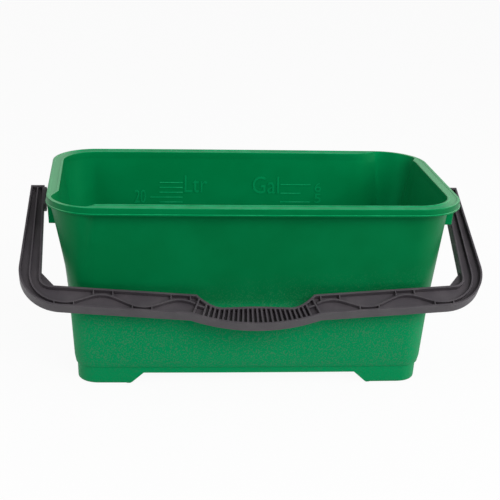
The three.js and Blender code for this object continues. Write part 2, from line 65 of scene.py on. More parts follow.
PLATE = 3.2                         # thickness of the rim's top
BAND = 16.6                         # width of the rim's top at the tub's ends; more along the sides
OUTER_RIDGE = 4.6                   # from the rim's edge to where the outer ridge starts to fall
INNER_RIDGE = 3.2                   # width of the inner ridge
RIDGE_DROP = 0.7                    # depth of the groove between the ridges
RIDGE_SLANT = 0.7                   # width of the slants down into it
KINK_HEIGHT = 126.0
KINK_HALF = 245.9
WALL_TOP_HALF = 261.6
SHOULDER_HEIGHT = 35.5
SHOULDER_HALF = 238.3
STEP_HEIGHT = 26.0
STEP_HALF = 236.4
LEDGE = 1.0                         # height of the step's slanting underside
PLINTH_HALF = 234.5
FOOT_HALF = 233.5
FOOT_FLAT = 10.0                    # from a foot's side to the flat of its underside
FLOOR_FLAT = 16.2                   # from the wall to the flat of the floor
FLARE = 9.5                         # how far a pouring corner's wall leans out, at the rim
LIP_WIDTH = 5.7                     # of the rim's top there
LIP_GROOVE = 3.9                    # from its edge to where the ridges and the groove run together
LIP_STEP = 0.3                      # between their lines there
# Roundings of the section's edges.
FOOT_EDGE = 4.0
LEDGE_EDGE = 0.3
CRISP = 0.5
SHOULDER_EDGE = 14.0
KINK_EDGE = 3.0
UNDER_EDGE = 1.5                    # where the wall meets the rim
SKIRT_EDGE = 0.8                    # and the rim its skirt
SKIRT_CREASE = 0.2                  # the same at a pouring corner
BEAD_EDGE = 0.7
BEAD_HOLLOW = 0.6
RIM_EDGE = 1.6
LIP_EDGE = 1.5
BAND_EDGE = 1.3
INNER_EDGE = 3.0                    # under the rim, inside
POURING_EDGE = 1.0                  # the same at a pouring corner
PLINTH_EDGE = 6.0                   # between the walls and the plinth, inside
FLOOR_EDGE = 9.0                    # between the plinth and the floor, inside
# How each corner opens along the rim, from a long and from an end wall: where it starts, past the
# start of the corner's arc, over what length it opens, and how much later it starts at the kink.
FRONT_FLARE = ((-1.0, 20.0, 32.0), (-6.0, 25.0, 30.0))
REAR_FLARE = ((-19.0, 18.0, 22.0), (18.0, 16.0, 26.0))
WALL_LEVELS = range(140, 250, 15)   # heights of the rings that carry the flare down the walls
CORNER_STEPS = 22
LONG_STEPS = 26
END_STEPS = 14
ROUND_STEPS = 4


def wall_half(z):
    """The tub's outer half length at a height above its feet."""
    if z >= KINK_HEIGHT:
        share = (z - KINK_HEIGHT) / (SKIRT_BOTTOM - KINK_HEIGHT)
        return KINK_HALF + share * (WALL_TOP_HALF - KINK_HALF)
    share = (z - SHOULDER_HEIGHT) / (KINK_HEIGHT - SHOULDER_HEIGHT)
    return SHOULDER_HALF + share * (KINK_HALF - SHOULDER_HALF)


def wall_surplus(z):
    """How much less the wall's half width is than its half length."""
    share = min(1, max(0, (z - KINK_HEIGHT) / (SKIRT_BOTTOM - KINK_HEIGHT)))
    return LOW_SURPLUS + share * (WALL_SURPLUS - LOW_SURPLUS)


def wall_radius(z):
    """The radius of the tub's corners, which grows from the feet up to the rim."""
    share = min(1, max(0, (z - STEP_HEIGHT) / (SKIRT_BOTTOM - STEP_HEIGHT)))
    return BASE_RADIUS + share * (RIM_RADIUS - RIM_HALF + WALL_TOP_HALF - BASE_RADIUS)


def outside(z, half=None):
    """A key of the section on the outer wall: half length, height, corner radius and surplus."""
    return (wall_half(z) if half is None else half, z, wall_radius(z), wall_surplus(z))


def inside(z, half=None):
    """The same on the inner wall, one wall thickness further in."""
    outer = wall_half(z) if half is None else half
    return (outer - WALL, z, wall_radius(z) - WALL, wall_surplus(z))


def on_rim(inset, drop, surplus=RIM_SURPLUS):
    """A key on the rim, measured in from its outer edge and down from its top."""
    return (RIM_HALF - inset, TUB_HEIGHT - drop, RIM_RADIUS - inset, surplus)


def rise(z):
    """How far up a height is from the kink to the rim's top, from 0 to 1."""
    return min(1, max(0, (z - KINK_HEIGHT) / (TUB_HEIGHT - KINK_HEIGHT)))


def flared(key):
    """The same key of a wall where a pouring corner is fully open."""
    half, z, radius, surplus = key
    reach = FLARE * rise(z)
    return (half + reach, z, radius + reach, surplus - (WALL_SURPLUS - RIM_SURPLUS) * rise(z))


def walls(place, heights):
    """Plain keys down or up a wall, with no rounding of their own."""
    return [(place(z), flared(place(z)), 0, 0) for z in heights]


# Each key: on the plain rim, on a pouring corner, and the edge rounding of each.
SECTION = [
    (outside(0, FOOT_HALF - FOOT_FLAT), None, 0, 0),
    (outside(0, FOOT_HALF), None, FOOT_EDGE, FOOT_EDGE),
    (outside(STEP_HEIGHT - LEDGE, PLINTH_HALF), None, LEDGE_EDGE, LEDGE_EDGE),
    (outside(STEP_HEIGHT, STEP_HALF), None, CRISP, CRISP),
    (outside(SHOULDER_HEIGHT), None, SHOULDER_EDGE, SHOULDER_EDGE),
    (outside(KINK_HEIGHT), None, KINK_EDGE, KINK_EDGE),
    *walls(outside, WALL_LEVELS),
    (outside(TUB_HEIGHT - PLATE), flared(outside(TUB_HEIGHT - PLATE)), UNDER_EDGE, CRISP),
    (on_rim(SKIRT_THICKNESS, PLATE), None, SKIRT_EDGE, SKIRT_CREASE),
    (on_rim(SKIRT_THICKNESS, SKIRT), None, CRISP, CRISP),
    (on_rim(0, SKIRT), None, BEAD_EDGE, BEAD_EDGE),
    (on_rim(0, BEAD_TOP), None, CRISP, CRISP),
    (on_rim(BEAD_PROUD, BEAD_TOP - BEAD_SLANT), None, BEAD_HOLLOW, BEAD_HOLLOW),
    (on_rim(BEAD_PROUD, 0), None, RIM_EDGE, LIP_EDGE),
    (on_rim(OUTER_RIDGE, 0), on_rim(LIP_GROOVE, 0), CRISP, CRISP),
    (on_rim(OUTER_RIDGE + RIDGE_SLANT, RIDGE_DROP), on_rim(LIP_GROOVE + LIP_STEP, 0), CRISP, CRISP),
    (on_rim(BAND - INNER_RIDGE - RIDGE_SLANT, RIDGE_DROP, WALL_SURPLUS),
     on_rim(LIP_GROOVE + 2 * LIP_STEP, 0), CRISP, CRISP),
    (on_rim(BAND - INNER_RIDGE, 0, WALL_SURPLUS), on_rim(LIP_GROOVE + 3 * LIP_STEP, 0), CRISP, CRISP),
    (on_rim(BAND, 0, WALL_SURPLUS), on_rim(LIP_WIDTH, 0), BAND_EDGE, BAND_EDGE),
    (inside(SKIRT_BOTTOM), flared(inside(SKIRT_BOTTOM)), INNER_EDGE, POURING_EDGE),
    *walls(inside, reversed(WALL_LEVELS)),
    (inside(KINK_HEIGHT), None, KINK_EDGE, KINK_EDGE),
    (inside(SHOULDER_HEIGHT), None, SHOULDER_EDGE, SHOULDER_EDGE),
    (inside(STEP_HEIGHT - LEDGE, PLINTH_HALF), None, PLINTH_EDGE, PLINTH_EDGE),
    (inside(WALL, FOOT_HALF), None, FLOOR_EDGE, FLOOR_EDGE),
    ((FOOT_HALF - WALL - FLOOR_FLAT, WALL, BASE_RADIUS - FLOOR_FLAT, LOW_SURPLUS), None, 0, 0),
]


def soften(line, roundings):
    """Rounds the corners of a line of points, each by its own radius in the first two axes."""
    longest_share = 0.45            # of an edge, that one rounding may take
    line = np.asarray(line, float)
    out = [line[0]]
    for before, at, after, radius in zip(line, line[1:], line[2:], roundings[1:-1]):
        back, on = before - at, after - at
        back_length, on_length = np.hypot(*back[:2]), np.hypot(*on[:2])
        bend = math.acos(max(-1, min(1, -back[:2] @ on[:2] / back_length / on_length)))
        reach = min(radius * math.tan(bend / 2), longest_share * min(back_length, on_length))
        start, end = at + back / back_length * reach, at + on / on_length * reach
        for s in np.linspace(0, 1, ROUND_STEPS + 1):
            out.append((1 - s) ** 2 * start + 2 * s * (1 - s) * at + s * s * end)
    out.append(line[-1])
    return np.array(out)


def tub_ring(key):
    """The tub's outline at one key of the section, anticlockwise from +X seen from above."""
    half, z, radius, surplus = key
    flat = half - radius, half - surplus - radius
    points = []
    for quarter in range(4):
        sx, sy = (1, -1, -1, 1)[quarter], (1, 1, -1, -1)[quarter]
        for step in range(CORNER_STEPS + 1):
            angle = (quarter + step / CORNER_STEPS) * math.pi / 2
            points.append((sx * flat[0] + radius * math.cos(angle),
                           sy * flat[1] + radius * math.sin(angle)))
        count = (LONG_STEPS, END_STEPS)[quarter % 2]
        for step in range(1, count):
            share = (1 - 2 * step / count) * (1, 1, -1, -1)[quarter]
            if quarter % 2 == 0:
                points.append((share * flat[0], sy * (flat[1] + radius + CROWN * (1 - share ** 2))))
            else:
                points.append((-half if quarter == 1 else half, share * flat[1]))
    return np.array([(x, y + TUB_SHIFT, z) for x, y in points])


def opening(share):
    """How far the flare is open after a share of its length: fast from a crease, then levelling."""
    return 1 - (1 - min(1, max(0, share))) ** 2


def pour_shares(z):
    """How far the pouring corners are open at each point of a ring at this height."""
    flat = RIM_HALF - RIM_RADIUS, RIM_HALF - RIM_SURPLUS - RIM_RADIUS
    far = RIM_RADIUS * math.pi
    shares = []
    for x, y, _ in tub_ring(on_rim(0, 0)) - (0, TUB_SHIFT, 0):
        past_x, past_y = abs(x) - flat[0], abs(y) - flat[1]
        angle = math.atan2(past_y, past_x)
        past = (RIM_RADIUS * (math.pi / 2 - angle), RIM_RADIUS * angle)
        if past_x <= 0:
            past = (past_x, far)
        elif past_y <= 0:
            past = (far, past_y)
        share = 1 if x * y > 0 else 0
        for along, (start, length, narrows) in zip(past, FRONT_FLARE if y < 0 else REAR_FLARE):
            share *= opening((along - start - (1 - rise(z)) * narrows) / length)
        shares.append(share)
    return np.array(shares)[:, None]


def skin(name, rings, wrap=False):
    """A closed body over rings of equal counts: capped at both ends, or wrapped round to the first."""
    count, total = len(rings[0]), len(rings)
    mesh = bmesh.new()
    rows = [[mesh.verts.new(Vector(point) * MM) for point in ring] for ring in rings]
    for r in range(total if wrap else total - 1):
        low, high = rows[r], rows[(r + 1) % total]
        for i in range(count):
            j = (i + 1) % count
            mesh.faces.new((low[i], low[j], high[j], high[i]))
    if not wrap:
        mesh.faces.new(rows[0][::-1])
        mesh.faces.new(rows[-1])
    bmesh.ops.recalc_face_normals(mesh, faces=mesh.faces)
    data = bpy.data.meshes.new(name)
    mesh.to_mesh(data)
    mesh.free()
    body = bpy.data.objects.new(name, data)
    bpy.context.collection.objects.link(body)
    return body


def prism(name, outline, low, high, axis=2, edge=0):
    """Extrudes an outline along an axis, with a bevel of the given width round its two ends."""
    levels = [(low, 0), (high, 0)]
    if edge:
        levels = [(low, edge), (low + edge, 0), (high - edge, 0), (high, edge)]
    order = {0: (2, 0, 1), 1: (0, 2, 1), 2: (0, 1, 2)}[axis]
    rings = []
    for level, inset in levels:
        line = inset_outline(outline, inset) if inset else np.asarray(outline, float)
        flat = np.column_stack([line, np.full(len(line), level)])
        rings.append(flat[:, order])
    return skin(name, rings)


def inset_outline(outline, distance):
    """Moves each point of a closed outline inwards, square to its two edges."""
    line = np.asarray(outline, float)
    area = np.sum(line[:, 0] * np.roll(line[:, 1], -1) - np.roll(line[:, 0], -1) * line[:, 1])
    into = line - np.roll(line, 1, axis=0)
    into /= np.linalg.norm(into, axis=1)[:, None]
    on = np.roll(into, -1, axis=0)
    square = np.column_stack([-into[:, 1], into[:, 0]]) * np.sign(area)
    across = np.column_stack([-into[:, 1] - on[:, 1], into[:, 0] + on[:, 0]]) * np.sign(area)
    across /= np.linalg.norm(across, axis=1)[:, None]
    stretch = distance / np.sum(across * square, axis=1)
    return line + across * stretch[:, None]


def merge(body, others, operation):
    """Joins other bodies to one, or cuts them from it, and removes them."""
    for other in others:
        step = body.modifiers.new("merge", "BOOLEAN")
        step.solver = "MANIFOLD"
        step.operation = operation
        step.object = other
    shown = body.evaluated_get(bpy.context.evaluated_depsgraph_get())
    data = bpy.data.meshes.new_from_object(shown)
    body.modifiers.clear()
    body.data = data
    for other in others:
        bpy.data.objects.remove(other)
    return body


def open_corners(keys):
    """The section with its corners rounded, on the plain rim and on a pouring corner."""
    plain = soften([key[0] for key in keys], [key[2] for key in keys])
    pouring = soften([key[1] or key[0] for key in keys], [key[3] for key in keys])
    rings = []
    for on_side, on_corner in zip(plain, pouring):
        side, corner = tub_ring(on_side), tub_ring(on_corner)
        rings.append(side + (corner - side) * pour_shares(on_side[1]))
    return rings


tub = skin("tub_shell", open_corners(SECTION))


# Four feet stand at the corners, between two broad passages that cross under the tub. The floor
# rises over the passages, so that the moulding keeps one thickness everywhere.
ARCH_HEIGHT = 16.25
FOOT_LENGTH = 71.0
FOOT_WIDTH = 60.0
FOOT_CHAMFER = 18.0
ARCH_EDGE = 1.2
OVERRUN = 2.0                       # how far a cut runs past what it cuts
PASSAGE_REACH = 320.0


def arch_outline(half_span, grow):
    """The passage's trapezoid section; grown by the wall it gives the raised floor's top."""
    slant = math.hypot(FOOT_CHAMFER, ARCH_HEIGHT) / ARCH_HEIGHT
    low = half_span + grow * slant
    top = ARCH_HEIGHT + grow
    high = low - FOOT_CHAMFER * top / ARCH_HEIGHT
    below = low + FOOT_CHAMFER * OVERRUN / ARCH_HEIGHT
    line = [(0, top), (-high, top), (-below, -OVERRUN), (below, -OVERRUN), (high, top), (0, top)]
    edge = ARCH_EDGE + grow
    return soften(line, [0, edge, 0, 0, edge, 0])[:-1]


def arches(grow):
    """Both passages as one body, running out past the walls."""
    across = arch_outline(FOOT_HALF - FOOT_LENGTH, grow)
    along = arch_outline(FOOT_HALF - LOW_SURPLUS - FOOT_WIDTH, grow) + (TUB_SHIFT, 0)
    one = prism("passage", across, TUB_SHIFT - PASSAGE_REACH, TUB_SHIFT + PASSAGE_REACH, axis=1)
    return merge(one, [prism("passage_long", along, -PASSAGE_REACH, PASSAGE_REACH, axis=0)], "UNION")


mid_wall = [(half - WALL / 2, z, radius - WALL / 2, extra) for half, z, radius, extra in
            [outside(0, FOOT_HALF), outside(STEP_HEIGHT - LEDGE, PLINTH_HALF),
             outside(STEP_HEIGHT, STEP_HALF)]]
floor = skin("raised_floor", [tub_ring(key) for key in mid_wall])
merge(floor, [arches(WALL)], "INTERSECT")
merge(floor, [arches(0)], "DIFFERENCE")
merge(tub, [arches(0)], "DIFFERENCE")
merge(tub, [floor], "UNION")


# A wide, shallow box hangs under the rim at each end, open below, moulded in one with the wall.
# The handle's stud snaps through the round hole in its outer face.
PIVOT_HEIGHT = 228.0
BRACKET_HALF = 78.0
BRACKET_WALL = 3.0
BRACKET_BOTTOM = 218.0
BRACKET_DRAFT = 3.2                 # how far its foot lies in from the rim's edge
BRACKET_SUNK = 1.0                  # how far its top stays inside the rim
BRACKET_EDGE = 0.8
HOLLOW_EDGE = 0.5
HOLE_RADIUS = 6.9
HOLE_REACH = 9.0                    # of the cut, to each side of the bracket's face
TURNED_STEPS = 48


def turned(name, profile, steps=TURNED_STEPS):
    """A body turned about the X axis from radii and places along it."""
    rings = []
    for radius, x in profile:
        angles = np.arange(steps) * 2 * math.pi / steps
        rings.append(np.column_stack([np.full(steps, x), radius * np.cos(angles), radius * np.sin(angles)]))
    return skin(name, rings)


def place(body, turn, shift):
    """Turns a body about Z through the tub's middle, then moves it, in its mesh."""
    points = np.empty(len(body.data.vertices) * 3)
    body.data.vertices.foreach_get("co", points)
    points = points.reshape(-1, 3) / MM
    c, s = math.cos(turn), math.sin(turn)
    x, y = points[:, 0].copy(), points[:, 1].copy()
    points[:, 0], points[:, 1] = c * x - s * y, s * x + c * y
    body.data.vertices.foreach_set("co", ((points + shift) * MM).ravel())
    body.data.update()
    return body


def wall_at(z):
    """How far out the middle of the end wall's thickness is."""
    return wall_half(z) - WALL / 2


def bracket(name, turn):
    """One bracket at the +X end, turned about the tub's middle."""
    top = TUB_HEIGHT - PLATE / 2
    below = BRACKET_BOTTOM - OVERRUN
    face = RIM_HALF - BEAD_PROUD
    outer = [(wall_at(BRACKET_BOTTOM), BRACKET_BOTTOM), (RIM_HALF - BRACKET_DRAFT, BRACKET_BOTTOM),
             (face, SKIRT_BOTTOM), (face - BRACKET_SUNK, top - BRACKET_SUNK),
             (wall_at(top), top - BRACKET_SUNK)]
    inner = [(wall_at(below) - OVERRUN, below), (RIM_HALF - BRACKET_DRAFT - BRACKET_WALL, below),
             (face - BRACKET_WALL, SKIRT_BOTTOM), (face - BRACKET_WALL, TUB_HEIGHT - PLATE),
             (wall_at(TUB_HEIGHT) - OVERRUN, TUB_HEIGHT - PLATE)]
    body = prism(name, outer, -BRACKET_HALF, BRACKET_HALF, axis=1, edge=BRACKET_EDGE)
    half = BRACKET_HALF - BRACKET_WALL
    hollow = prism("hollow", inner, -half, half, axis=1, edge=HOLLOW_EDGE)
    hole = turned("hole", [(HOLE_RADIUS, face - HOLE_REACH), (HOLE_RADIUS, face + HOLE_REACH)])
    place(hole, 0, (0, 0, PIVOT_HEIGHT))
    merge(body, [hollow, hole], "DIFFERENCE")
    return place(body, turn, (0, TUB_SHIFT, 0))


merge(tub, [bracket("bracket_right", 0), bracket("bracket_left", math.pi)], "UNION")


# The rear wall carries raised graduations inside, litres on the left and gallons on the right,
# with plain numerals and units. They stand less than a millimetre proud of the wall.
MARK_PROUD = 0.7
MARK_SUNK = 1.0
MARK_EDGE = 0.3
MARK_THICKNESS = 1.5
MARK_STEPS = 8                      # along each side of a line, so that it follows the wall
# Each line: how far its free end is from the tub's middle, and its height.
LITRE_LINES = [(-117.5, 186.3), (-131, 193.7), (-117.5, 201.1), (-117.5, 208.5), (-117.5, 215.9)]
LITRE_END = -82.5
GALLON_START = 65.5
GALLON_LINES = [(111.5, 187.4), (97, 200.6), (111.5, 213.8)]
# Each label: its words, left edge, foot, width and height.
LABELS = [("20", -155, 185, 17, 19.7), ("Ltr", -80, 201, 34, 25.5), ("6", 117.6, 203, 10, 14),
          ("5", 117.6, 186, 10, 14), ("Gal", 23, 200, 40, 26)]
LETTER_CURVES = 4
LETTER_WELD = 1e-5                  # in the letters' own size, before they are fitted


def rear_face(x, z):
    """How far behind the tub's middle the inner rear wall's face is."""
    flat = wall_half(z) - wall_radius(z)
    return wall_half(z) - WALL - wall_surplus(z) + CROWN * (1 - (x / flat) ** 2)


def lay_on_wall(points):
    """Lays points drawn in the wall's plane, x, z and how far proud, onto the inner rear wall."""
    return [(x, rear_face(x, z) + TUB_SHIFT - proud, z) for x, z, proud in points]


def graduation(left, right, z):
    """One raised line."""
    half = MARK_THICKNESS / 2
    outline = [(left, z - half), (right, z - half), (right, z + half), (left, z + half)]
    steps = np.arange(MARK_STEPS) / MARK_STEPS
    fine = [tuple(np.array(a) + (np.array(b) - a) * s)
            for a, b in zip(outline, outline[1:] + outline[:1]) for s in steps]
    rings = []
    for proud, inset in ((-MARK_SUNK, 0), (MARK_PROUD - MARK_EDGE, 0), (MARK_PROUD, MARK_EDGE)):
        line = inset_outline(fine, inset) if inset else np.array(fine)
        rings.append(lay_on_wall([(x, y, proud) for x, y in line]))
    return skin("graduation", rings)


def label(text, x, z, width, height):
    """A plain numeral or unit, raised as the lines are."""
    curve = bpy.data.curves.new("label", "FONT")
    curve.body = text
    curve.extrude = (MARK_PROUD + MARK_SUNK) / 2
    curve.resolution_u = LETTER_CURVES
    source = bpy.data.objects.new("label", curve)
    bpy.context.collection.objects.link(source)
    data = bpy.data.meshes.new_from_object(source.evaluated_get(bpy.context.evaluated_depsgraph_get()))
    mesh = bmesh.new()
    mesh.from_mesh(data)
    bmesh.ops.remove_doubles(mesh, verts=mesh.verts, dist=LETTER_WELD)
    low = min(v.co.y for v in mesh.verts)
    left = min(v.co.x for v in mesh.verts)
    wide = width / (max(v.co.x for v in mesh.verts) - left)
    tall = height / (max(v.co.y for v in mesh.verts) - low)
    for vert in mesh.verts:
        proud = vert.co.z + (MARK_PROUD - MARK_SUNK) / 2
        spot = lay_on_wall([(x + (vert.co.x - left) * wide, z + (vert.co.y - low) * tall, proud)])[0]
        vert.co = Vector(spot) * MM
    bmesh.ops.recalc_face_normals(mesh, faces=mesh.faces)
    mesh.to_mesh(data)
    mesh.free()
    bpy.data.objects.remove(source)
    raised = bpy.data.objects.new("label", data)
    bpy.context.collection.objects.link(raised)
    return raised


marks = [graduation(left, LITRE_END, z) for left, z in LITRE_LINES]
marks += [graduation(GALLON_START, right, z) for right, z in GALLON_LINES]
marks += [label(*one) for one in LABELS]
merge(tub, marks, "UNION")


# The tub's finish: green polypropylene coloured right through. The mould was polished inside and
# above the kink and spark-eroded to a fine grain below it, and the rim's top is rubbed paler by use.
# Painted light: the inside's polished greens are painted lighter than the outside's, though the plastic is
# one colour.
INSIDE_LIT_GREEN = (0.0001, 0.125, 0.035, 1)
INSIDE_LIT_PALE = (0.0002, 0.139, 0.041, 1)
# Painted highlight: the raised marks are painted paler than the wall, for the light their faces catch.
MARK_HIGHLIGHT_GREEN = (0.0006, 0.165, 0.052, 1)
MARK_HIGHLIGHT_PALE = (0.0012, 0.185, 0.06, 1)
# Painted shade: the outside's polished greens are painted darker than the inside's.
OUTER_SHADED_GREEN = (0.0001, 0.092, 0.026, 1)
OUTER_SHADED_PALE = (0.0002, 0.105, 0.031, 1)
# Paler than the smooth outside: partly the grain's own look and partly painted light from below.
GRAIN_AND_LIGHT_GREEN = (0.0002, 0.175, 0.059, 1)
# Painted glints: the paler specks where the grain's pits catch the light.
GRAIN_GLINT = (0.034, 0.145, 0.071, 1)
RIM_GREEN = (0.001, 0.205, 0.068, 1)
RIM_RUBBED = (0.01, 0.265, 0.105, 1)
RIM_SHEEN = (0.115, 0.33, 0.17, 1)   # painted sheen at the tub's ends, for the light the rim's side bands mirror
SHEEN_FROM = 235.0                   # from the middle, where that starts
SHEEN_FULL = 262.0                   # and where it is strongest
GREEN_GLOSS = (0.0, 0.8, 0.25, 1)   # the tint of what the plastic mirrors, seen square on
CLOUDS_PER_METRE = 14
GRAIN_CLOUDS_PER_METRE = 22
PATCHES_PER_METRE = 60
FINE_PER_METRE = 900
WAVES_PER_METRE = 30
WAVE_DEPTH = 0.0006                 # metres
GRAIN_PER_METRE = 520
GRAIN_DEPTH = 0.00025               # metres
GRAIN_BLEND = 14.0                  # height below the kink over which the grain's colour fades in
GRAIN_FOOT = 4.0                    # height above and below the step over which its specks fade
# The painted glints of the grain, on the polished outside, thin out upwards.
GLINT_START = 20.0                  # below the kink, where the specks start to thin out upwards
GLINT_TOP = 175.0                   # height where the last of them fade
GLINT_SLANT = 0.08                  # slope of that height, up towards the tub's right


class Term:
    """An output socket that can stand in a sum. Values are joined by Math nodes."""

    def __init__(self, surface, output):
        self.surface, self.output = surface, output

    def join(self, operation, first, second):
        return self.surface.add("ShaderNodeMath", {"operation": operation}, {0: first, 1: second})

    def __add__(self, other):
        return self.join("ADD", self, other)

    def __sub__(self, other):
        return self.join("SUBTRACT", self, other)

    def __rsub__(self, other):
        return self.join("SUBTRACT", other, self)

    def __mul__(self, other):
        return self.join("MULTIPLY", self, other)

    __radd__ = __add__
    __rmul__ = __mul__


class Surface:
    """The nodes of one material or world. add() makes every node, settings first."""

    def __init__(self, owner):
        owner.use_nodes = True
        self.owner, self.tree = owner, owner.node_tree
        self.tree.nodes.clear()

    def add(self, kind, settings, sockets, output=0):
        node = self.tree.nodes.new(kind)
        for name, value in settings.items():
            setattr(node, name, value)
        for name, value in sockets.items():
            if isinstance(value, Term):
                self.tree.links.new(value.output, node.inputs[name])
            else:
                node.inputs[name].default_value = value
        return Term(self, node.outputs[output]) if node.outputs else node

    def noise(self, per_metre, detail=3, roughness=0.5):
        spot = self.add("ShaderNodeTexCoord", {}, {}, "Object")
        return self.add("ShaderNodeTexNoise", {}, {"Vector": spot, "Scale": per_metre, "Detail": detail,
                                                   "Roughness": roughness}, "Fac")

    def along(self, axis):
        """How far along one of the object's axes each point is, in metres."""
        spot = self.add("ShaderNodeTexCoord", {}, {}, "Object")
        return self.add("ShaderNodeSeparateXYZ", {}, {"Vector": spot}, axis)

    def spread(self, value, low, high, to_low=0, to_high=1):
        return self.add("ShaderNodeMapRange", {"interpolation_type": "SMOOTHSTEP"},
                        {"Value": value, "From Min": low, "From Max": high,
                         "To Min": to_low, "To Max": to_high})

    def mix(self, share, first, second):
        return self.add("ShaderNodeMix", {"data_type": "RGBA"},
                        {"Factor": share, 6: first, 7: second}, 2)

    def bump(self, height, distance, strength=1):
        return self.add("ShaderNodeBump", {}, {"Height": height, "Distance": distance,
                                               "Strength": strength}, "Normal")

    def finish(self, **sockets):
        named = {name.replace("_", " "): value for name, value in sockets.items()}
        shader = self.add("ShaderNodeBsdfPrincipled", {}, named)
        self.add("ShaderNodeOutputMaterial", {}, {"Surface": shader})
        return self.owner


def polished_plastic(name="green plastic, polished", deep=INSIDE_LIT_GREEN, pale=INSIDE_LIT_PALE):
    """Smooth polypropylene: a faint flow cloudiness, and very shallow waviness of the wall. Its own greens
    are the inside's, painted lighter as painted light.
    """
    s = Surface(bpy.data.materials.new(name))
    cloud = s.noise(CLOUDS_PER_METRE, 2)
    wave = s.noise(WAVES_PER_METRE, 2)
    fine = s.noise(FINE_PER_METRE, 2)
    return s.finish(
        Base_Color=s.mix(s.spread(cloud, 0.35, 0.65), deep, pale),
        Roughness=s.spread(fine, 0.3, 0.7, 0.36, 0.46),
        Specular_IOR_Level=0.3,
        Specular_Tint=GREEN_GLOSS,
        Normal=s.bump(wave + 0.05 * fine, WAVE_DEPTH, 0.6),
    )


def highlit_mark_plastic():
    """The raised marks' faces, painted a little paler than the wall: a painted highlight for the light they
    catch.
    """
    return polished_plastic("green plastic, raised marks, painted highlight", MARK_HIGHLIGHT_GREEN, MARK_HIGHLIGHT_PALE)


def outer_plastic():
    """The polished outside, in greens painted darker as painted shade, where the grain's specks, painted
    glints, thin out with height above the kink.
    """
    s = Surface(bpy.data.materials.new("green plastic, outside"))
    cloud = s.noise(CLOUDS_PER_METRE, 2)
    grain = s.noise(GRAIN_PER_METRE, 3, 0.65)
    wave = s.noise(WAVES_PER_METRE, 2)
    fading = s.spread(s.along("Z") - GLINT_SLANT * s.along("X"),
                      (KINK_HEIGHT - GLINT_START) * MM, GLINT_TOP * MM, 1, 0.02)
    # The specks are painted glints, where the grain catches the light.
    glints = s.spread(grain, 0.5, 0.66) * fading
    return s.finish(
        Base_Color=s.mix(glints * 0.5, s.mix(s.spread(cloud, 0.35, 0.65), OUTER_SHADED_GREEN, OUTER_SHADED_PALE),
                         GRAIN_GLINT),
        Roughness=s.spread(grain, 0.3, 0.7, 0.38, 0.5),
        Specular_IOR_Level=0.3,
        Specular_Tint=GREEN_GLOSS,
        Normal=s.bump(wave + 0.12 * grain * fading, WAVE_DEPTH, 0.6),
    )


def grained_plastic():
    """Spark-eroded polypropylene: close pits and grains that catch the light as paler specks."""
    s = Surface(bpy.data.materials.new("green plastic, grained"))
    grain = s.noise(GRAIN_PER_METRE, 3, 0.65)
    cloud = s.noise(GRAIN_CLOUDS_PER_METRE, 2)
    height = s.along("Z")
    above_step = s.spread(height, (STEP_HEIGHT - GRAIN_FOOT) * MM, (STEP_HEIGHT + GRAIN_FOOT) * MM,
                          0.35, 1)
    near_kink = s.spread(height, (KINK_HEIGHT - GRAIN_BLEND) * MM, KINK_HEIGHT * MM)
    glints = s.spread(grain, 0.5, 0.6) * above_step * (1 - 0.5 * near_kink)
    return s.finish(
        Base_Color=s.mix(glints * (0.5 + 0.6 * cloud), s.mix(near_kink, GRAIN_AND_LIGHT_GREEN, OUTER_SHADED_PALE),
                         GRAIN_GLINT),
        Roughness=s.spread(grain, 0.3, 0.7, 0.5, 0.68),
        Specular_IOR_Level=0.35,
        Specular_Tint=GREEN_GLOSS,
        Normal=s.bump(grain, GRAIN_DEPTH, 0.7),
    )


def rubbed_and_highlit_plastic():
    """The rim's top, rubbed and finely scratched by hands and tools, so paler and duller, with a painted
    sheen at the tub's ends for the light its side bands mirror.
    """
    s = Surface(bpy.data.materials.new("green plastic, rubbed, painted sheen"))
    patch = s.noise(PATCHES_PER_METRE, 3)
    grit = s.noise(GRAIN_PER_METRE, 3, 0.65)
    from_middle = s.add("ShaderNodeMath", {"operation": "ABSOLUTE"}, {0: s.along("X")})
    # Painted sheen, stronger towards the tub's ends.
    sheen_at_end = s.spread(from_middle, SHEEN_FROM * MM, SHEEN_FULL * MM)
    rubbed = s.mix(s.spread(patch * 0.5 + grit * 0.5, 0.4, 0.66), RIM_GREEN, RIM_RUBBED)
    return s.finish(
        Base_Color=s.mix(sheen_at_end * s.spread(grit, 0.2, 0.6, 0.5, 1), rubbed, RIM_SHEEN),
        Roughness=s.spread(grit, 0.3, 0.7, 0.42, 0.6),
        Specular_IOR_Level=0.35,
        Specular_Tint=GREEN_GLOSS,
        Normal=s.bump(grit, GRAIN_DEPTH, 0.4),
    )


TUB_SHARP = 32                      # degrees: edges that turn more than this stay sharp


def shade(body, degrees):
    """Smooth shading, with the edges that turn more than this kept sharp."""
    body.data.shade_smooth()
    body.data.set_sharp_from_angle(angle=math.radians(degrees))


# The finishes in the order of the tub's materials, and what tells them apart.
INSIDE, GRAINED, OUTSIDE, RUBBED_AND_HIGHLIT, HIGHLIT_MARK = range(5)
FACES_UP, FACES_OUT, FACES_DOWN = 0.6, 0.1, -0.5    # parts of a face's normal
MARK_SHARE = 0.6                    # of a mark's height, above which a face is its top
MARKS_END = 8.0                     # below the skirt's foot; there are no marks above it
WALL_MARGIN = 1.0                   # how far inside the inner wall a wall's faces are looked for
KINK_MARGIN = 0.1                   # above the kink, so that the faces at it are grained


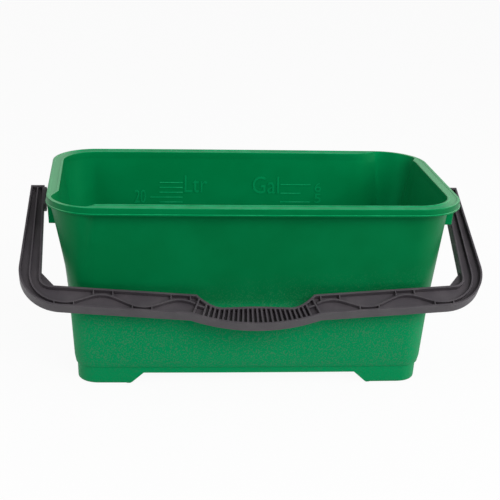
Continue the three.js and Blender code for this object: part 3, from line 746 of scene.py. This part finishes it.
def finish_at(face):
    """Which finish a face has."""
    x, y, z = face.center / MM - Vector((0, TUB_SHIFT, 0))
    if face.normal.z > FACES_UP and z > SKIRT_BOTTOM:
        return RUBBED_AND_HIGHLIT
    flat = wall_half(z) - wall_radius(z)
    flat_y = flat - wall_surplus(z)
    outward = Vector((x - max(-flat, min(flat, x)), y - max(-flat_y, min(flat_y, y)), 0))
    past_wall = outward.length > wall_radius(z) - WALL - WALL_MARGIN
    faces_out = outward.normalized().dot(face.normal) > FACES_OUT and past_wall
    among_marks = KINK_HEIGHT < z < SKIRT_BOTTOM - MARKS_END
    on_rear = y > 0 and not faces_out and abs(x) < flat
    if among_marks and on_rear and rear_face(x, z) - y > MARK_PROUD * MARK_SHARE:
        # The lines take the rim's paler finish, a painted highlight, so they are paler than the words
        # beside them.
        on_litres = min(LITRE_LINES)[0] < x < LITRE_END
        on_gallons = GALLON_START < x < max(GALLON_LINES)[0]
        return RUBBED_AND_HIGHLIT if on_litres or on_gallons else HIGHLIT_MARK
    if not faces_out and face.normal.z >= FACES_DOWN:
        return INSIDE
    return GRAINED if z < KINK_HEIGHT + KINK_MARGIN else OUTSIDE


tub.name = "tub_moulding"
tub.data.materials.clear()
for make in (polished_plastic, grained_plastic, outer_plastic, rubbed_and_highlit_plastic, highlit_mark_plastic):
    tub.data.materials.append(make())
for face in tub.data.polygons:
    face.material_index = finish_at(face)
shade(tub, TUB_SHARP)
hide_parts("tub")
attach(tub, "tub")


# The bail handle is one moulding in black polypropylene: an I-section frame of two flanges and a
# thin web, drawn flat here with x across and y down from the pivot, then tilted to where it rests.
TILT = math.radians(55.913)         # from hanging straight down to resting against the front wall
HALF_THICKNESS = 8.5
FLANGE = 2.8
WEB = 1.5
RIB = 2.2
RIB_HALF = 7.5
ARM_INNER = 281.8                   # the arm's inner edge at its top end, from the middle
ARM_INWARD = 1.0                    # how much further in the arm's inner edge is at the corner
ARM_TOP_OUTER = 300.4
ARM_END = 18.5
ARM_SPLAY = 14.3
BAR_REACH = 171.777
BAR_SLOPE = 0.0777
BAR_WIDTH = 30.9
OUTER_CORNER_RADIUS = 60.0
INNER_CORNER_RADIUS = 14.0
GRIP_SHOULDER = 77.4
GRIP_DIP = 18.9
GRIP_FLAT = 45.0
GRIP_BULGE = 1.6
GRIP_WIDTH = 27.5
GRIP_OUTER_X = 85.6
GRIP_RISE_POWER = 1.8
FLANGE_EDGE = 0.45
FLAT_STEPS = 8
RISE_STEPS = 14
INNER_CORNER_STEPS = 10
OUTER_CORNER_STEPS = 30
GRIP_ARC_STEPS = 16


def bar_inner(x):
    """The bar's inner edge: how far below the pivot it is at a distance from the middle."""
    return BAR_REACH - BAR_SLOPE * abs(x)


CORNER_INNER = ARM_INNER - ARM_INWARD
CORNER_TOP = bar_inner(CORNER_INNER)
ARM_SLOPE = ARM_SPLAY / (CORNER_TOP + BAR_WIDTH + ARM_END)
GRIP_INNER = bar_inner(GRIP_SHOULDER) + GRIP_DIP
GRIP_OUTER = GRIP_INNER + GRIP_WIDTH
GRIP_SAGITTA = GRIP_OUTER - bar_inner(GRIP_OUTER_X) - BAR_WIDTH
GRIP_ARC = (GRIP_OUTER_X ** 2 + GRIP_SAGITTA ** 2) / (2 * GRIP_SAGITTA)
GRIP_ARC_Y = GRIP_OUTER - GRIP_ARC


def arm_inner(y):
    """The arm's inner edge at a distance below the pivot."""
    return ARM_INNER - ARM_INWARD * (y + ARM_END) / (CORNER_TOP + ARM_END)


def arm_outer(y):
    """The arm's outer edge at a distance below the pivot."""
    return ARM_TOP_OUTER + ARM_SLOPE * (y + ARM_END)


def round_corner(before, corner, after, radius, steps):
    """Points of the arc that rounds a corner between two straight edges."""
    before, corner, after = (np.array(p, float) for p in (before, corner, after))
    u, v = before - corner, after - corner
    u, v = u / np.linalg.norm(u), v / np.linalg.norm(v)
    half = math.acos(u @ v) / 2
    middle = (u + v) / np.linalg.norm(u + v) * radius / math.sin(half) + corner
    start = corner + u * radius / math.tan(half) - middle
    end = corner + v * radius / math.tan(half) - middle
    first, last = math.atan2(start[1], start[0]), math.atan2(end[1], end[0])
    sweep = (last - first + math.pi) % (2 * math.pi) - math.pi
    angles = first + sweep * np.arange(steps + 1) / steps
    return [tuple(middle + radius * np.array((math.cos(a), math.sin(a)))) for a in angles]


def handle_outline():
    """The closed outline, from the middle of the grip's inner edge round the right arm and back."""
    right = []
    for x in np.linspace(0, GRIP_FLAT, FLAT_STEPS + 1):
        right.append((x, GRIP_INNER + GRIP_BULGE * (1 - math.cos(math.pi * x / GRIP_FLAT)) / 2))
    start = GRIP_INNER + GRIP_BULGE
    for share in np.linspace(0, 1, RISE_STEPS + 1)[1:]:
        x = GRIP_FLAT + (GRIP_SHOULDER - GRIP_FLAT) * share
        right.append((x, start + (bar_inner(GRIP_SHOULDER) - start) * share ** GRIP_RISE_POWER))
    arm_top = (ARM_INNER, -ARM_END)
    inner = (CORNER_INNER, CORNER_TOP)
    right += round_corner(right[-1], inner, arm_top, INNER_CORNER_RADIUS, INNER_CORNER_STEPS)
    right += [arm_top, (ARM_TOP_OUTER, -ARM_END)]
    grip_end = (GRIP_OUTER_X, bar_inner(GRIP_OUTER_X) + BAR_WIDTH)
    outer_x = (ARM_TOP_OUTER + ARM_SLOPE * (ARM_END + BAR_REACH + BAR_WIDTH)) / (1 + ARM_SLOPE * BAR_SLOPE)
    outer = (outer_x, bar_inner(outer_x) + BAR_WIDTH)
    right += round_corner(right[-1], outer, grip_end, OUTER_CORNER_RADIUS, OUTER_CORNER_STEPS)
    for share in np.linspace(1, 0, GRIP_ARC_STEPS + 1):
        x = GRIP_OUTER_X * share
        right.append((x, GRIP_ARC_Y + math.sqrt(GRIP_ARC ** 2 - x * x)))
    left = [(-x, y) for x, y in right[1:-1]][::-1]
    return np.array(right + left)


def strip(line, width):
    """The outline of a strip of one width along a line of points."""
    line = np.array(line, float)
    ahead = np.vstack([line[1:], line[-1]])
    behind = np.vstack([line[0], line[:-1]])
    along = ahead - behind
    along /= np.linalg.norm(along, axis=1)[:, None]
    side = np.column_stack([-along[:, 1], along[:, 0]]) * width / 2
    return np.vstack([line + side, (line - side)[::-1]])


outline = handle_outline()
mid_outline = inset_outline(outline, FLANGE / 2)
flange_section = [(0, HALF_THICKNESS - FLANGE_EDGE), (FLANGE_EDGE, HALF_THICKNESS),
                  (FLANGE - FLANGE_EDGE, HALF_THICKNESS), (FLANGE, HALF_THICKNESS - FLANGE_EDGE)]
flange_section += [(inset, -height) for inset, height in flange_section[::-1]]
rings = []
for inset, height in flange_section:
    line = inset_outline(outline, inset) if inset else outline
    rings.append(np.column_stack([line, np.full(len(line), height)]))
handle = skin("handle", rings, wrap=True)
merge(handle, [prism("web", mid_outline, -WEB, WEB)], "UNION")


# Inside the frame runs one stiffening rib, down the middle of each arm and then in waves along the
# bar, tied to the nearer flange by short ticks. Close ribs across the grip give it its comb.
WAVE_CREST_X = 98.5
WAVE_LENGTH = 101.0
WAVE_CREST = 9.0
WAVE_TROUGH = 24.0
WAVE_STEPS = 61
TICK_PAIRS = 4
TICK_OFFSET = 12.6
TICK_WIDTH = 1.6
RIB_EDGE = 0.25
BEND_START = 22.4                   # where the rib leaves the arm's middle, above the corner
BEND_SHARE = 0.6                    # of its width, that the bend's pull at each end reaches
BEND_STEPS = 24
COMB_HALF = 72.5
COMB_SLOTS = 22
COMB_RIB = 2.3
COMB_TOP = 8.4
BRACE_DEPTH = 16.0                  # from the grip's outer edge to the brace beside the comb


def wave(x):
    """The rib's distance below the pivot along the bar."""
    phase = 2 * math.pi * (x - WAVE_CREST_X) / WAVE_LENGTH
    middle, swing = (WAVE_CREST + WAVE_TROUGH) / 2, (WAVE_TROUGH - WAVE_CREST) / 2
    return bar_inner(x) + middle - swing * math.cos(phase)


def arm_middle(y):
    return (arm_inner(y) + arm_outer(y)) / 2


def main_rib():
    """The rib's middle line, from the arm's top end to the grip."""
    low = CORNER_TOP - BEND_START
    trough = WAVE_CREST_X + 1.5 * WAVE_LENGTH
    pull = (arm_middle(low) - trough) * BEND_SHARE
    p = np.array([(arm_middle(low), low), (arm_middle(low), low + pull),
                  (trough + pull, wave(trough) - BAR_SLOPE * pull), (trough, wave(trough))])
    line = [(arm_middle(-ARM_END), -ARM_END + FLANGE / 2)]
    for s in np.linspace(0, 1, BEND_STEPS + 1):
        line.append(tuple((1 - s) ** 3 * p[0] + 3 * s * (1 - s) ** 2 * p[1]
                          + 3 * s * s * (1 - s) * p[2] + s ** 3 * p[3]))
    for x in np.linspace(trough, GRIP_SHOULDER + RIB, WAVE_STEPS + 1)[1:]:
        line.append((x, wave(x)))
    return line


def radial_rib(along):
    """A rib across the grip, on a radius of its outer edge."""
    angle = along / GRIP_ARC
    inner = GRIP_ARC - GRIP_WIDTH - GRIP_DIP
    return [(reach * math.sin(angle), GRIP_ARC_Y + reach * math.cos(angle)) for reach in (inner, GRIP_ARC)]


def brace_end(line):
    """Where the brace meets a rib across the grip."""
    share = 1 - BRACE_DEPTH / GRIP_ARC
    x, y = line[1]
    return x * share, GRIP_ARC_Y + (y - GRIP_ARC_Y) * share


def rib(name, line, width, half):
    return prism(name, strip(line, width), -half, half, edge=RIB_EDGE)


ribs = [rib("main_rib", main_rib(), RIB, RIB_HALF)]
for index in range(TICK_PAIRS):
    for side in (-1, 1):
        x = WAVE_CREST_X + index * WAVE_LENGTH / 2 + side * TICK_OFFSET
        edge = bar_inner(x) + (FLANGE / 2 if index % 2 == 0 else BAR_WIDTH - FLANGE / 2)
        ribs.append(rib("tick", [(x, wave(x)), (x, edge)], TICK_WIDTH, RIB_HALF))
first, second = radial_rib(GRIP_OUTER_X), radial_rib(COMB_HALF)
ribs.append(rib("shoulder_rib", first, RIB, COMB_TOP))
ribs.append(rib("brace", [brace_end(first), brace_end(second)], RIB, RIB_HALF))
for index in range(COMB_SLOTS // 2 + 1):
    along = COMB_HALF * (1 - 2 * index / COMB_SLOTS)
    ribs.append(rib("comb_rib", radial_rib(along), COMB_RIB, COMB_TOP))


def mirrored(body):
    """The same body on the left, as a copy."""
    twin = body.copy()
    twin.data = body.data.copy()
    bpy.context.collection.objects.link(twin)
    mesh = bmesh.new()
    mesh.from_mesh(twin.data)
    for vert in mesh.verts:
        vert.co.x = -vert.co.x
    bmesh.ops.reverse_faces(mesh, faces=mesh.faces)
    mesh.to_mesh(twin.data)
    mesh.free()
    return twin


right_ribs = merge(ribs[0], ribs[1:], "UNION")
all_ribs = merge(right_ribs, [mirrored(right_ribs)], "UNION")
merge(all_ribs, [prism("inner_space", mid_outline, -HALF_THICKNESS, HALF_THICKNESS)], "INTERSECT")
merge(handle, [all_ribs], "UNION")


# A thin web fills the angle between arm and bar. At the top of each arm a round hub carries the
# split stud that snaps into the bracket and turns there.
GUSSET_ALONG = 21.0
GUSSET_UP = 24.0
GUSSET_EDGE = 0.3
HUB_RADIUS = 17.0
HUB_FACE = 278.5
HUB_EDGE = 0.7
HUB_STEPS = 64
STUD_RADIUS = 6.5
STUD_BARB = 1.2
STUD_BARB_LENGTH = 5.0
STUD_BARB_LAND = 0.7                # length over which the barb falls back to the stud
STUD_START = 268.6                  # the barb's seat, just inside the bracket's wall
TIP_EDGE = 0.6
TIP_EDGE_LENGTH = 0.5
STUD_SLIT = 2.4
STUD_SLIT_DEPTH = 9.0
SLIT_REACH = 9.0                    # of the slit's cut, to each side of the stud's middle

in_flange = FLANGE / 2
gusset_top, gusset_end = CORNER_TOP - GUSSET_UP, CORNER_INNER - GUSSET_ALONG
gusset = prism("gusset", [
    (CORNER_INNER + in_flange, CORNER_TOP + in_flange),
    (arm_inner(gusset_top) + in_flange, gusset_top),
    (arm_inner(gusset_top), gusset_top),
    (gusset_end, bar_inner(gusset_end)),
    (gusset_end, bar_inner(gusset_end) + in_flange),
], -WEB, WEB, edge=GUSSET_EDGE)
tip = STUD_START - STUD_BARB_LENGTH
barb = STUD_RADIUS + STUD_BARB
stud = turned("stud", [
    (STUD_RADIUS - STUD_BARB - TIP_EDGE, tip), (STUD_RADIUS - STUD_BARB, tip + TIP_EDGE_LENGTH),
    (barb, STUD_START - STUD_BARB), (barb, STUD_START - STUD_BARB_LAND),
    (STUD_RADIUS, STUD_START), (STUD_RADIUS, HUB_FACE + OVERRUN)])
hub = turned("hub", [(HUB_RADIUS - HUB_EDGE, HUB_FACE), (HUB_RADIUS, HUB_FACE + HUB_EDGE),
                     (HUB_RADIUS, arm_inner(HUB_RADIUS) + in_flange)], HUB_STEPS)
slit_start, slit_end = tip - OVERRUN, tip + STUD_SLIT_DEPTH
slit = prism("slit", [(slit_start, -SLIT_REACH), (slit_end, -SLIT_REACH), (slit_end, SLIT_REACH),
                      (slit_start, SLIT_REACH)], -STUD_SLIT / 2, STUD_SLIT / 2)
merge(stud, [hub], "UNION")
merge(stud, [slit], "DIFFERENCE")
merge(stud, [gusset], "UNION")
merge(handle, [stud, mirrored(stud)], "UNION")


# The handle's finish: black plastic right through, matt from a fine grain of the mould, and rubbed
# a little paler in patches by hands.
HANDLE_DARK = (0.035, 0.030, 0.036, 1)
HANDLE_WORN = (0.053, 0.046, 0.052, 1)
HANDLE_GRAIN_PER_METRE = 1100
HANDLE_GRAIN_DEPTH = 0.0001         # metres
RUBS_PER_METRE = 35
HANDLE_SHARP = 30                   # degrees: the same for the handle's edges


def black_plastic():
    """Black polypropylene, with its grain and its rubbed patches."""
    s = Surface(bpy.data.materials.new("black plastic, matt"))
    grain = s.noise(HANDLE_GRAIN_PER_METRE, 3, 0.6)
    rub = s.noise(RUBS_PER_METRE, 3)
    return s.finish(
        Base_Color=s.mix(s.spread(rub, 0.35, 0.7) * 0.7 + 0.25 * grain, HANDLE_DARK, HANDLE_WORN),
        Roughness=s.spread(grain, 0.3, 0.7, 0.42, 0.58),
        Specular_IOR_Level=0.4,
        Normal=s.bump(grain, HANDLE_GRAIN_DEPTH, 0.5),
    )


# Tilts the flat drawing to where the handle rests.
mesh = bmesh.new()
mesh.from_mesh(handle.data)
for vert in mesh.verts:
    down, front = vert.co.y, vert.co.z
    vert.co.y = -down * math.sin(TILT) - front * math.cos(TILT) + TUB_SHIFT * MM
    vert.co.z = -down * math.cos(TILT) + front * math.sin(TILT) + PIVOT_HEIGHT * MM
bmesh.ops.recalc_face_normals(mesh, faces=mesh.faces)
mesh.to_mesh(handle.data)
mesh.free()
handle.name = "bail_handle_moulding"
handle.data.materials.clear()
handle.data.materials.append(black_plastic())
shade(handle, HANDLE_SHARP)
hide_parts("bail_handle")
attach(handle, "bail_handle")


# The studio: a plain white floor that keeps the bucket's soft shadow, white all round for the
# camera, and three large soft lamps: in front, on the right, and a weaker and lower one on the left.
FLOOR_SIZE = 12.0                   # metres
FLOOR_WHITE = (0.6, 0.6, 0.6, 1)
SHOWN_SHARE = 0.94                  # how far the camera sees the floor plain white, with less shadow
WORLD_FRONT = 0.35
WORLD_BACK = 0.6
LAMP_AIM = Vector((0.0, 0.0, 0.2))  # metres
# Each lamp: its place and diameter in metres, and its power in watts.
LAMPS = [
    ("lamp_front", (1.1, -2.5, 1.7), 1.8, 75),
    ("lamp_right", (2.4, -0.6, 1.2), 1.4, 42),
    ("lamp_left", (-2.0, -1.0, 1.1), 1.4, 22),
]

data = bpy.data.meshes.new("studio_floor")
data.from_pydata([(x * FLOOR_SIZE / 2, y * FLOOR_SIZE / 2, 0)
                  for x, y in ((-1, -1), (1, -1), (1, 1), (-1, 1))], [], [(0, 1, 2, 3)])
studio_floor = bpy.data.objects.new("studio_floor", data)
bpy.context.collection.objects.link(studio_floor)
surface = Surface(bpy.data.materials.new("studio white"))
path = [surface.add("ShaderNodeLightPath", {}, {}, name)
        for name in ("Is Camera Ray", "Is Glossy Ray", "Is Transmission Ray")]
card = surface.add("ShaderNodeBsdfDiffuse", {}, {"Color": FLOOR_WHITE})
glow = surface.add("ShaderNodeEmission", {}, {"Color": (1, 1, 1, 1), "Strength": 1.0})
floor_mix = surface.add("ShaderNodeMixShader", {},
                        {0: SHOWN_SHARE * path[0] + path[1] + path[2], 1: card, 2: glow})
surface.add("ShaderNodeOutputMaterial", {}, {"Surface": floor_mix})
data.materials.append(surface.owner)

world = bpy.data.worlds.new("studio")
bpy.context.scene.world = world
around = Surface(world)
direction = around.add("ShaderNodeTexCoord", {}, {}, "Generated")
toward_rear = around.add("ShaderNodeSeparateXYZ", {}, {"Vector": direction}, "Y")
seen = [around.add("ShaderNodeLightPath", {}, {}, name)
        for name in ("Is Camera Ray", "Is Transmission Ray")]
level = around.spread(toward_rear, -0.5, 0.5, WORLD_FRONT, WORLD_BACK)
shown = seen[0] + seen[1]
sky = around.add("ShaderNodeBackground", {}, {"Color": (1, 1, 1, 1),
                                              "Strength": level * (1 - shown) + shown})
around.add("ShaderNodeOutputWorld", {}, {"Surface": sky})

for name, spot, size, power in LAMPS:
    light = bpy.data.lights.new(name, "AREA")
    light.shape = "DISK"
    light.size = size
    light.energy = power
    lamp = bpy.data.objects.new(name, light)
    lamp.location = spot
    lamp.rotation_euler = (LAMP_AIM - Vector(spot)).to_track_quat("-Z", "Y").to_euler()
    bpy.context.collection.objects.link(lamp)


# The camera stands in front of the tub, a little to the left and above the rim, and looks down at
# it. Its place was worked out from the rim, the walls, the feet and the handle in the photograph.
CAMERA_SPOT = (-0.18589, -1.57221, 0.70510)     # metres; the angles are in radians
CAMERA_YAW = 0.0774
CAMERA_PITCH = 0.3147
CAMERA_ROLL = 0.0279
FOCAL_PIXELS = 1187.67
AXIS_PIXEL = (201.34, 227.49)       # where the lens axis meets the photograph
PHOTO_PIXELS = 500
SENSOR_WIDTH = 36.0

forward = Vector((math.sin(CAMERA_YAW) * math.cos(CAMERA_PITCH),
                  math.cos(CAMERA_YAW) * math.cos(CAMERA_PITCH), -math.sin(CAMERA_PITCH)))
level_right = Vector((math.cos(CAMERA_YAW), -math.sin(CAMERA_YAW), 0))
level_up = level_right.cross(forward)
right = level_right * math.cos(CAMERA_ROLL) + level_up * math.sin(CAMERA_ROLL)
up = level_up * math.cos(CAMERA_ROLL) - level_right * math.sin(CAMERA_ROLL)
lens = bpy.data.cameras.new("camera")
lens.sensor_fit = "HORIZONTAL"
lens.sensor_width = SENSOR_WIDTH
lens.lens = FOCAL_PIXELS * SENSOR_WIDTH / PHOTO_PIXELS
lens.shift_x = (PHOTO_PIXELS / 2 - AXIS_PIXEL[0]) / PHOTO_PIXELS
lens.shift_y = (AXIS_PIXEL[1] - PHOTO_PIXELS / 2) / PHOTO_PIXELS
camera = bpy.data.objects.new("camera", lens)
camera.matrix_world = Matrix(((*right, 0), (*up, 0), (*-forward, 0), (*CAMERA_SPOT, 1))).transposed()
bpy.context.collection.objects.link(camera)
scene = bpy.context.scene
scene.camera = camera
scene.view_settings.view_transform = "Standard"

bpy.context.view_layer.update()
